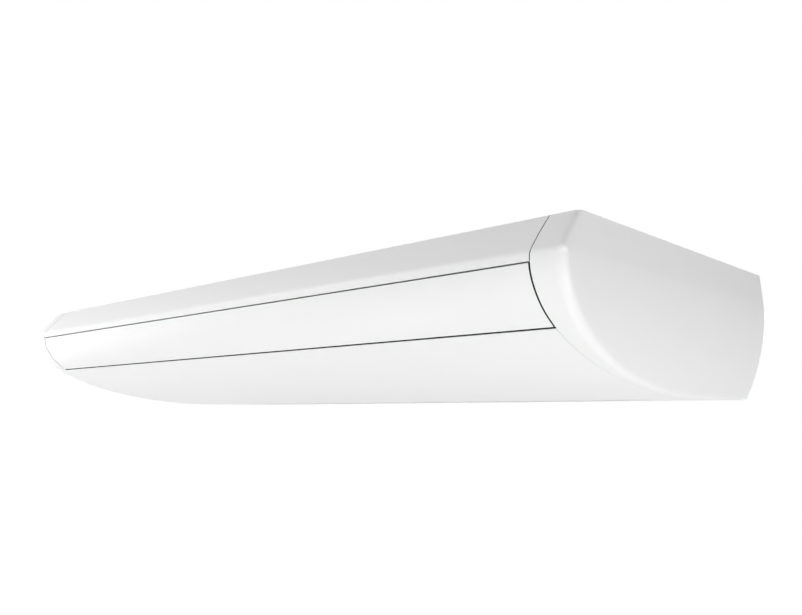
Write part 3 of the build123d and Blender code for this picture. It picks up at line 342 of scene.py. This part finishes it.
@dataclass(frozen=True)
class Skin:
    """The cross-section of the front, from the top slope round the nose to the underside, in mm."""

    front: float = -379.0
    back: float = 296.0
    top: float = 14.0
    bottom: float = -221.0
    nose_below_top: float = 64.4
    belly: tuple[Span, ...] = ((25, 70.0), (50, 122.0), (65, 218.0), (77, 558.0))
    brow: tuple[Span, ...] = ((-36, 20.0), (-60, 604.0))
    station_step: float = 3.0

    def normal(self, angle: float) -> YZ:
        """Give the outward direction at an angle from 0 at the nose to 90 underneath."""
        return -cos(radians(angle)), -sin(radians(angle))

    def arcs(self) -> list[tuple[float, float, float, float, float]]:
        """Work out the tangent arcs.

        Returns:
            Low angle, high angle, centre y, centre z and radius of each arc, from the top down.
        """
        arcs = []
        for spans in (self.belly, self.brow):
            radius = spans[0][1]
            start = 0.0
            centre_y = self.front + radius
            centre_z = self.top - self.nose_below_top
            for end, next_radius in spans:
                centre_y += (radius - next_radius) * self.normal(start)[0]
                centre_z += (radius - next_radius) * self.normal(start)[1]
                radius = next_radius
                arcs.append((min(start, end), max(start, end), centre_y, centre_z, radius))
                start = end
        _, high, centre_y, centre_z, radius = max(arcs)
        side, down = self.normal(high)
        last = (centre_z - self.bottom + radius * down) / (1 + down)
        last_y = centre_y + (radius - last) * side
        arcs.append((high, 90.0, last_y, centre_z + (radius - last) * down, last))
        return sorted(arcs)

    def arc(self, angle: float) -> tuple[float, float, float, float, float]:
        """Find the arc that holds an angle, and the first arc above it."""
        arcs = self.arcs()
        return next((arc for arc in arcs if arc[0] <= angle <= arc[1]), arcs[0])

    def point(self, angle: float, inset: float = 0.0) -> YZ:
        """Find the place on the skin at an angle.

        Args:
            angle: The angle of the outward direction.
            inset: How far inside the skin the place is.

        Returns:
            The place.
        """
        _, _, centre_y, centre_z, radius = self.arc(angle)
        side, down = self.normal(angle)
        return centre_y + (radius - inset) * side, centre_z + (radius - inset) * down

    def step(self, angle: float, distance: float) -> float:
        """Give the angle reached by going a short distance down the skin."""
        return angle + degrees(distance / self.arc(angle)[4])

    def brow_angle(self, height: float, inset: float = 0.0) -> float:
        """Give the angle at which the top slope, set in by a distance, reaches a height."""
        _, _, _, centre_z, radius = self.arcs()[0]
        return degrees(asin((centre_z - height) / (radius - inset)))

    def angles(self, start: float, end: float) -> list[float]:
        """Divide the skin between two angles into short, even steps.

        Args:
            start: The upper angle.
            end: The lower angle.

        Returns:
            The angles, both ends among them.
        """
        bounds = [start, *[arc[1] for arc in self.arcs() if start < arc[1] < end], end]
        found = []
        for low, high in zip(bounds, bounds[1:]):
            length = radians(high - low) * self.arc((low + high) / 2)[4]
            count = max(2, ceil(length / self.station_step))
            found += [low + (high - low) * number / count for number in range(count)]
        return [*found, end]

    def path(self, start: float, end: float, inset: float) -> Outline:
        """Give the places along the skin between two angles at an inset."""
        return [self.point(angle, inset) for angle in self.angles(start, end)]


SKIN = Skin()


class Piece:
    """A mesh under construction, made of closed forms, in millimetres."""

    def __init__(self, name: str) -> None:
        """Start an empty piece."""
        self.name = name
        self.mesh = bmesh.new()

    def draw_out(self, outline: Outline, x: Span) -> None:
        """Add a closed outline drawn out along X.

        Args:
            outline: The corners as (y, z).
            x: The two ends.
        """
        ends = [[self.mesh.verts.new((place, y, z)) for y, z in outline] for place in x]
        for number, (low, high) in enumerate(zip(*ends)):
            follow = (number + 1) % len(outline)
            self.mesh.faces.new((low, high, ends[1][follow], ends[0][follow]))
        self.mesh.faces.new(ends[0])
        self.mesh.faces.new(ends[1][::-1])

    def pin(self, radius: float, centre: YZ, x: Span, sides: int = 24) -> None:
        """Add a round pin along X.

        Args:
            radius: Its radius.
            centre: Its axis as (y, z).
            x: The two ends.
            sides: The corners of its section.
        """
        turns = [2 * pi * number / sides for number in range(sides)]
        y, z = centre
        self.draw_out([(y + radius * cos(turn), z + radius * sin(turn)) for turn in turns], x)

    def finish(self, material: bpy.types.Material, bevel_mm: float, sharp_degrees: float = 30.0,
               wall_mm: float = 0.0) -> bpy.types.Object:
        """Turn the piece into an object with rounded edges.

        Args:
            material: Its material.
            bevel_mm: The width of the rounding on its sharp edges.
            sharp_degrees: The least angle of an edge that is rounded.
            wall_mm: The thickness given to an open surface, or 0.

        Returns:
            The object, in metres.
        """
        bmesh.ops.scale(self.mesh, vec=(MM, MM, MM), verts=self.mesh.verts)
        bmesh.ops.recalc_face_normals(self.mesh, faces=self.mesh.faces)
        data = bpy.data.meshes.new(self.name)
        self.mesh.to_mesh(data)
        self.mesh.free()
        for face in data.polygons:
            face.use_smooth = True
        data.set_sharp_from_angle(angle=radians(sharp_degrees))
        data.materials.append(material)
        piece = bpy.data.objects.new(self.name, data)
        bpy.context.scene.collection.objects.link(piece)
        if wall_mm:
            wall = piece.modifiers.new("wall", "SOLIDIFY")
            wall.thickness = wall_mm * MM
            wall.offset = -1.0
            wall.use_even_offset = True
        edges = piece.modifiers.new("rounded_edges", "BEVEL")
        edges.width = bevel_mm * MM
        edges.segments = ROUNDING_SEGMENTS
        edges.limit_method = "ANGLE"
        edges.angle_limit = radians(sharp_degrees)
        edges.harden_normals = True
        log.info("built %s", self.name)
        return piece


def place_piece(piece: bpy.types.Object, body: str, node: str) -> None:
    """Put a finished piece in the place of its CAD node.

    Args:
        piece: The finished piece.
        body: The body it rides on.
        node: The CAD node it stands for.
    """
    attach(piece, body)
    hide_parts(node)


@dataclass
class FrontCasing:
    """The long moulded pieces between the end caps: front cover, outlet flap and lower panel."""

    material: bpy.types.Material
    seam_x: float = 774.0
    seam_gap: float = 1.8
    panel_gap: float = 1.0
    outer_side_x: float = 775.9
    wall: float = 3.0
    edge: float = 0.5
    # The next four sizes are for the thin black strips set into the seams to make the seam lines dark:
    # painted shade.
    shade_strip: float = 0.9
    shade_strip_inset: float = 0.7
    shade_strip_depth: float = 2.2
    shade_strip_edge: float = 0.15
    flange: float = 34.0
    lip_depth: float = 13.0
    lip_sheet: float = 2.0
    rib_depth: float = 10.0
    flat_y: float = 87.0
    flange_height: float = 13.0
    flap_top: float = 4.6
    flap_low: float = 55.7
    upper_seam: float = 2.2
    lower_seam: float = 2.5
    flap_end_gap: float = 2.5
    flap_wall: float = 5.0
    flap_edge: float = 0.8
    hinge_angle: float = 48.0
    hinge_inset: float = 12.0
    lug_radius: float = 7.0
    lug_width: float = 6.0
    lug_spread: float = 5.0
    lug_overlap: float = 0.5
    pin_radius: float = 3.0
    motor_half: float = 9.5
    support_x: Span = (-300.0, 300.0)
    support_gap: float = 3.8
    cheek: float = 4.0

    def edges(self) -> tuple[float, float, float, float]:
        """Give the angles of the edges beside the two long seams, from the cover down to the panel.

        Returns:
            The lower edge of the cover, the two edges of the flap and the top of the black strip of painted
            shade on the panel's top edge.
        """
        upper = self.upper_seam / 2
        lower = self.lower_seam / 2
        return (SKIN.step(self.flap_top, -upper), SKIN.step(self.flap_top, upper),
                SKIN.step(self.flap_low, -lower), SKIN.step(self.flap_low, lower))

    def front_cover(self) -> None:
        """Build the top slope, the nose and the strip down to the flap."""
        x = (self.seam_gap - self.seam_x, self.seam_x - self.seam_gap)
        start = SKIN.brow_angle(SKIN.top)
        low = self.edges()[0]
        lip = SKIN.step(low, -self.lip_sheet)
        deck = SKIN.top - self.wall
        start_y = SKIN.point(start)[0]
        outline = [(start_y + self.flange, SKIN.top), *SKIN.path(start, low, 0.0)]
        outline += [SKIN.point(low, self.lip_depth), SKIN.point(lip, self.lip_depth)]
        outline += SKIN.path(SKIN.brow_angle(deck, self.wall), lip, self.wall)[::-1]
        outline.append((start_y + self.flange, deck))
        cover = Piece("front_cover_skin")
        cover.draw_out(outline, x)
        place_piece(cover.finish(self.material, self.edge), "chassis", "front_cover")

    def lower_panel(self) -> None:
        """Build the belly panel with its rib, its flange and its end ribs."""
        x = (self.panel_gap - self.seam_x, self.seam_x - self.panel_gap)
        # The panel starts a strip's width below the seam, leaving room for the black strip of painted
        # shade.
        start = SKIN.step(self.edges()[3], self.shade_strip)
        rib = SKIN.step(start, self.rib_depth)
        rib_end = SKIN.step(rib, self.lip_sheet)
        outline = [*SKIN.path(start, 90.0, 0.0), (self.flat_y, SKIN.bottom)]
        outline += [(self.flat_y, SKIN.bottom + self.flange_height),
                    (self.flat_y - self.wall, SKIN.bottom + self.flange_height),
                    (self.flat_y - self.wall, SKIN.bottom + self.wall)]
        outline += SKIN.path(rib_end, 90.0, self.wall)[::-1]
        outline += [SKIN.point(rib_end, self.rib_depth), SKIN.point(rib, self.rib_depth)]
        outline += SKIN.path(start, rib, self.wall)[::-1]
        panel = Piece("lower_panel_skin")
        panel.draw_out(outline, x)
        for sign in (-1, 1):
            ends = tuple(sorted((sign * x[1], sign * (x[1] - self.lip_sheet))))
            rib_form = [*SKIN.path(rib, 90.0, self.wall / 2), *SKIN.path(rib, 90.0, self.rib_depth)[::-1]]
            panel.draw_out(rib_form, ends)
        place_piece(panel.finish(self.material, self.edge), "chassis", "lower_panel")

    def outlet_flap(self) -> None:
        """Build the curved flap with its lugs and pivot pins."""
        end = self.seam_x - self.flap_end_gap
        start, stop = self.edges()[1:3]
        hinge = SKIN.point(self.hinge_angle, self.hinge_inset)
        flap = Piece("outlet_flap_blade")
        blade = [*SKIN.path(start, stop, 0.0), *SKIN.path(start, stop, self.flap_wall)[::-1]]
        # The blade stops a strip's thickness short of each end, leaving room for the black strips of
        # painted shade.
        flap.draw_out(blade, (self.shade_strip - end, end - self.shade_strip))
        lugs = [(-end, self.lug_width - end), (end - self.lug_width, end)]
        pins = [(-self.outer_side_x, -end), (end, self.outer_side_x + self.motor_half)]
        for x in self.support_x:
            lugs.append((x - self.support_gap - self.cheek, x - self.support_gap))
            lugs.append((x + self.support_gap, x + self.support_gap + self.cheek))
            pins.append((x - self.support_gap, x + self.support_gap))
        upper = self.hinge_angle - self.lug_spread
        lower = self.hinge_angle + self.lug_spread / 2
        arm = SKIN.path(upper, lower, self.flap_wall - self.lug_overlap)
        arm += SKIN.path(upper, lower, self.hinge_inset)[::-1]
        for x in lugs:
            flap.draw_out(arm, x)
            flap.pin(self.lug_radius, hinge, x)
        for x in pins:
            flap.pin(self.pin_radius, hinge, x)
        place_piece(flap.finish(self.material, self.flap_edge), "flap", "outlet_flap")

    def shade_strips(self, rubber: bpy.types.Material) -> None:
        """Build the thin black strips on the ends of the mouldings and along the top edge of the panel:
        painted shade that makes the seam lines dark.

        Args:
            rubber: Their material.
        """
        brow = SKIN.brow_angle(SKIN.top)
        cover_low, flap_high, flap_low, edge = self.edges()
        panel_top = SKIN.step(edge, self.shade_strip)
        deep = self.shade_strip_inset + self.shade_strip_depth
        cover_x = self.seam_x - self.seam_gap
        flap_x = self.seam_x - self.flap_end_gap - self.shade_strip
        panel_x = self.seam_x - self.panel_gap
        runs = (("front_cover", "chassis", (brow, cover_low), cover_x, self.shade_strip),
                ("outlet_flap", "flap", (flap_high, flap_low), flap_x, self.shade_strip),
                ("lower_panel", "chassis", (panel_top, 90.0), panel_x, self.panel_gap / 2))
        for name, body, span, end, thick in runs:
            # Each strip is a black piece set behind a seam where there is only shade: painted shade.
            shade_piece = Piece(f"{name}_gasket")
            ring = [*SKIN.path(*span, self.shade_strip_inset), *SKIN.path(*span, deep)[::-1]]
            shade_piece.draw_out(ring, (-end - thick, -end))
            shade_piece.draw_out(ring, (end, end + thick))
            if name == "lower_panel":
                strip = [SKIN.point(edge, self.shade_strip_inset), SKIN.point(panel_top, self.shade_strip_inset),
                         SKIN.point(panel_top, deep), SKIN.point(edge, deep)]
                shade_piece.draw_out(strip, (-end, end))
            piece = shade_piece.finish(rubber, self.shade_strip_edge)
            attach(piece, body)


@dataclass
class EndCap:
    """A moulded end cap: the skin's profile with a bulged side, a soft crease and a rounded corner."""

    material: bpy.types.Material
    sign: int
    half: float = 825.0
    seam_x: float = 774.0
    bulge_radius: float = 378.0
    crease_z: float = -44.0
    crease_half: float = 2.5
    lean: float = 4.6
    wall: float = 3.0
    edge: float = 0.6
    corner_steps: int = 8
    grid: float = 9.0
    rim_clearance: float = 0.45
    sharp_degrees: float = 40.0
    above: float = 12.0
    corner_radii: tuple[Span, ...] = ((-60.0, 7.0), (-30.0, 10.0), (-8.0, 15.0), (60.0, 15.0), (90.0, 11.0))

    def side_x(self, z: float) -> float:
        """Give how far out the side face is at a height.

        Args:
            z: The height.

        Returns:
            The distance from the middle of the unit.
        """
        if z > self.crease_z:
            return self.half - self.lean * (z - self.crease_z) / (SKIN.top - self.crease_z)
        return self.half - self.bulge_radius + sqrt(self.bulge_radius ** 2 - (self.crease_z - z) ** 2)

    def side_slope(self, z: float) -> float:
        """Give how far the side face moves out over 1 mm of height."""
        return self.side_x(z + 0.5) - self.side_x(z - 0.5)

    def corner_radius(self, angle: float) -> float:
        """Give the rounding of the corner at an angle of the skin.

        Args:
            angle: The angle.

        Returns:
            The radius, which changes evenly between the named ones.
        """
        if angle <= self.corner_radii[0][0]:
            return self.corner_radii[0][1]
        for (low, first), (high, second) in zip(self.corner_radii, self.corner_radii[1:]):
            if angle <= high:
                return first + (second - first) * (angle - low) / (high - low)
        return self.corner_radii[-1][1]

    def stations(self) -> list[tuple[YZ, YZ, float]]:
        """List the places round the outline, from above the top slope to the back of the underside.

        Returns:
            The place, the direction inwards and the corner radius of each.
        """
        start = SKIN.brow_angle(SKIN.top + self.above)
        found = []
        for angle in SKIN.angles(start, 90.0):
            side, down = SKIN.normal(angle)
            found.append((SKIN.point(angle), (-side, -down), self.corner_radius(angle)))
        first = found[-1][0][0]
        count = ceil((SKIN.back - first) / self.grid)
        for number in range(1, count + 1):
            y = first + (SKIN.back - first) * number / count
            found.append(((y, SKIN.bottom), (0.0, 1.0), self.corner_radius(90.0)))
        return found

    def corner(self, place: YZ, inward: YZ, radius: float) -> list[Vector]:
        """Build the rounding between the skin and the side face at one station.

        Args:
            place: The place on the skin.
            inward: The direction inwards, across the skin.
            radius: The radius of the rounding.

        Returns:
            The places from the skin to the side face.
        """
        y, z = place
        slope = self.side_slope(z)
        face = Vector((1.0, 0.0, -slope)).normalized()
        between = acos(max(-1.0, min(1.0, face.dot(Vector((0.0, -inward[0], -inward[1]))))))
        reach = radius * tan(between / 2)
        outer = self.side_x(z)
        run = reach / sqrt(1 + (slope * inward[1]) ** 2)
        last_z = z + inward[1] * run
        points = (Vector((outer - reach, y, z)), Vector((outer, y, z)),
                  Vector((self.side_x(last_z), y + inward[0] * run, last_z)))
        weights = (1.0, cos(between / 2), 1.0)
        found = []
        for number in range(self.corner_steps + 1):
            share = number / self.corner_steps
            blend = ((1 - share) ** 2, 2 * share * (1 - share), share ** 2)
            parts = [weight * amount for weight, amount in zip(weights, blend)]
            found.append(sum((point * part for point, part in zip(points, parts)), Vector()) / sum(parts))
        return found

    def side_face(self, mesh: bmesh.types.BMesh, rim: list[bmesh.types.BMVert],
                  back: list[bmesh.types.BMVert]) -> None:
        """Fill the side face inside the rounded corner.

        Args:
            mesh: The mesh to add to.
            rim: The last vertices of the rounding, from the top to the back.
            back: The vertices up the back edge.
        """
        loop = [*rim, *back]
        flat = [Vector((vert.co.y, vert.co.z)) for vert in loop]
        fixed = len(flat)
        columns = int((SKIN.back - SKIN.front) / self.grid)
        below = int((self.crease_z - SKIN.bottom) / self.grid)
        above = int((SKIN.top + self.above - self.crease_z) / self.grid)
        heights = [self.crease_z + step * self.grid for step in range(-below, above + 1)]
        heights += [self.crease_z - self.crease_half, self.crease_z + self.crease_half]
        for row, z in enumerate(heights):
            for column in range(columns):
                point = Vector((SKIN.front + (column + 0.5 * (row % 2)) * self.grid, z))
                if self.inside(point, flat[:fixed]):
                    flat.append(point)
        edges = [(number, (number + 1) % fixed) for number in range(fixed)]
        verts, _, faces, sources, _, _ = delaunay_2d_cdt(flat, edges, [], 1, MERGE_DISTANCE)
        made = []
        for vert, source in zip(verts, sources):
            if source and source[0] < fixed:
                made.append(loop[source[0]])
            else:
                made.append(mesh.verts.new((self.side_x(vert.y), vert.x, vert.y)))
        for face in faces:
            mesh.faces.new([made[number] for number in face])

    def inside(self, point: Vector, loop: list[Vector]) -> bool:
        """Say whether a point lies inside a loop and well clear of it.

        Args:
            point: The point, as (y, z).
            loop: The corners of the loop.

        Returns:
            True where the point can be added to the side face.
        """
        clear = self.grid * self.rim_clearance
        within = False
        for first, second in zip(loop, [*loop[1:], loop[0]]):
            side = second - first
            share = max(0.0, min(1.0, (point - first).dot(side) / max(side.length_squared, SHORTEST_SIDE)))
            if (point - first - side * share).length < clear:
                return False
            if (first.y > point.y) != (second.y > point.y):
                if point.x < first.x + side.x * (point.y - first.y) / side.y:
                    within = not within
        return within

    def build(self, name: str, node: str) -> None:
        """Build the cap.

        Args:
            name: The name of the piece.
            node: The CAD node that it replaces.
        """
        cap = Piece(name)
        mesh = cap.mesh
        rows = []
        for place, inward, radius in self.stations():
            corner = self.corner(place, inward, radius)
            seam = Vector((self.seam_x, *place))
            middle = seam.lerp(corner[0], 0.5)
            rows.append([mesh.verts.new(point) for point in (seam, middle, *corner)])
        for first, second in zip(rows, rows[1:]):
            for number in range(len(first) - 1):
                mesh.faces.new((first[number], second[number], second[number + 1], first[number + 1]))
        rim = [row[-1] for row in rows]
        count = ceil((rim[0].co.z - rim[-1].co.z) / self.grid)
        back = []
        for number in range(1, count + 1):
            z = rim[-1].co.z + (rim[0].co.z - rim[-1].co.z) * number / count
            back.append(mesh.verts.new((self.side_x(z), SKIN.back, z)))
        self.side_face(mesh, rim, back)
        top_corner = mesh.verts.new((self.seam_x, SKIN.back, rim[0].co.z))
        mesh.faces.new([*rows[-1], *back, top_corner])
        everything = [*mesh.verts, *mesh.edges, *mesh.faces]
        bmesh.ops.bisect_plane(mesh, geom=everything, plane_co=(0, 0, SKIN.top), plane_no=(0, 0, 1),
                               clear_outer=True)
        if self.sign < 0:
            bmesh.ops.scale(mesh, vec=(-1, 1, 1), verts=mesh.verts)
        piece = cap.finish(self.material, self.edge, self.sharp_degrees, self.wall)
        side = "right" if self.sign > 0 else "left"
        place_piece(piece, "chassis", node)
        log.info("the %s cap has %d faces", side, len(piece.data.polygons))


@dataclass
class Studio:
    """The camera at the photograph's viewing angle, soft lamps, a pale floor and a white backdrop."""

    camera_at: tuple[float, float, float] = (1.328204, -1.127558, -0.242602)
    yaw: float = 0.6969556
    pitch: float = 0.1614077
    sensor_mm: float = 36.0
    lens_mm: float = 33.764
    shift: Span = (-0.10562, -0.02292)
    floor_z: float = -2.2
    floor_half: float = 30.0
    floor_colour: str = "#EDEDED"
    floor_roughness: float = 0.7
    ambient: float = 0.14
    lamp_size: float = 2.0
    aim: tuple[float, float, float] = (0.0, 0.0, -0.1)
    lamps: dict[str, tuple[tuple[float, float, float], float]] = field(default_factory=lambda: {
        "back": ((-0.6, 3.6, 0.9), 30.0),
        "below_front": ((-0.6, -2.2, -2.0), 8.0),
        "below_left": ((-1.2, -0.9, -2.1), 18.0),
        "below_right": ((1.2, -0.5, -2.1), 3.0),
        "front": ((0.2, -3.6, -0.2), 20.0),
        "front_low_right": ((1.4, -3.2, -1.2), 4.0),
        "high_front_left": ((-2.4, -2.0, 1.8), 47.5),
        "high_front_right": ((1.2, -2.2, 1.9), 14.8),
        "left": ((-3.4, -0.8, -0.1), 29.6),
        "right_low": ((3.2, -0.8, -1.4), 50.5),
    })

    def camera(self) -> None:
        """Set up the camera."""
        data = bpy.data.cameras.new("camera")
        data.sensor_width = self.sensor_mm
        data.lens = self.lens_mm
        data.shift_x, data.shift_y = self.shift
        camera = bpy.data.objects.new("camera", data)
        camera.location = self.camera_at
        camera.rotation_euler = (pi / 2 + self.pitch, 0.0, self.yaw)
        bpy.context.scene.collection.objects.link(camera)
        bpy.context.scene.camera = camera

    def light(self) -> None:
        """Set up the soft lamps and the pale surroundings."""
        for name, (place, power) in self.lamps.items():
            data = bpy.data.lights.new(name, "AREA")
            data.shape = "DISK"
            data.size = self.lamp_size
            data.energy = power
            lamp = bpy.data.objects.new(name, data)
            lamp.location = place
            lamp.rotation_euler = (Vector(self.aim) - Vector(place)).to_track_quat("-Z", "Y").to_euler()
            lamp.visible_camera = False
            bpy.context.scene.collection.objects.link(lamp)
        world = bpy.data.worlds.new("studio")
        bpy.context.scene.world = world
        world.use_nodes = True
        tree = world.node_tree
        backdrop = tree.nodes["Background"]
        backdrop.inputs["Color"].default_value = (1.0, 1.0, 1.0, 1.0)
        tree.links.new(self.seen(tree, self.ambient), backdrop.inputs["Strength"])

    def seen(self, tree: bpy.types.NodeTree, unseen: float) -> bpy.types.NodeSocket:
        """Give 1 for what the camera, a gloss or a glass sees, and less for what only lights the object.

        Args:
            tree: The node tree to add to.
            unseen: The value for the rays that only light the object.

        Returns:
            The value.
        """
        rays = add_node(tree, "ShaderNodeLightPath").outputs
        reached = rays["Is Camera Ray"]
        for kind in ("Is Glossy Ray", "Is Transmission Ray"):
            pair = add_node(tree, "ShaderNodeMath", {"@operation": "MAXIMUM"})
            tree.links.new(reached, pair.inputs[0])
            tree.links.new(rays[kind], pair.inputs[1])
            reached = pair.outputs["Value"]
        reach = add_node(tree, "ShaderNodeMapRange", {"To Min": unseen, "To Max": 1.0}, {"Value": reached})
        return reach.outputs["Result"]

    def floor(self) -> None:
        """Build the pale floor well below the unit."""
        half = self.floor_half
        data = bpy.data.meshes.new("floor")
        corners = [(-half, -half, self.floor_z), (half, -half, self.floor_z), (half, half, self.floor_z),
                   (-half, half, self.floor_z)]
        data.from_pydata(corners, [], [(0, 1, 2, 3)])
        floor = bpy.data.objects.new("floor", data)
        bpy.context.scene.collection.objects.link(floor)
        material = bpy.data.materials.new("painted_floor_white")
        material.use_nodes = True
        tree = material.node_tree
        shader = tree.nodes["Principled BSDF"]
        shader.inputs["Base Color"].default_value = linear(self.floor_colour)
        shader.inputs["Roughness"].default_value = self.floor_roughness
        glow = add_node(tree, "ShaderNodeEmission", {"Color": (1.0, 1.0, 1.0, 1.0), "Strength": 1.0})
        seen = add_node(tree, "ShaderNodeMixShader", links={"Fac": self.seen(tree, 0.0)})
        tree.links.new(shader.outputs["BSDF"], seen.inputs[1])
        tree.links.new(glow.outputs["Emission"], seen.inputs[2])
        tree.links.new(seen.outputs["Shader"], tree.nodes["Material Output"].inputs["Surface"])
        data.materials.append(material)

    def build(self) -> None:
        """Set up the whole studio."""
        bpy.context.scene.view_settings.view_transform = "Standard"
        self.camera()
        self.light()
        self.floor()


def main() -> None:
    """Build the studio, the moulded pieces and the finishes, in order."""
    logging.basicConfig(level=logging.INFO, format="%(name)s: %(message)s")
    Studio().build()
    palette = Palette()
    white = palette.materials["casing_plastic"]
    casing = FrontCasing(white)
    casing.front_cover()
    casing.lower_panel()
    casing.outlet_flap()
    # The black strips in the seams are painted shade, made of the bearings' black rubber.
    casing.shade_strips(palette.materials["bearing_rubber"])
    for side, sign in (("left", -1), ("right", 1)):
        EndCap(white, sign).build(f"end_cap_{side}_shell", f"end_cap_{side}")
    palette.dress_nodes({"front_cover", "lower_panel", "outlet_flap", "end_cap_left", "end_cap_right"})


if __name__ == "__main__":
    main()
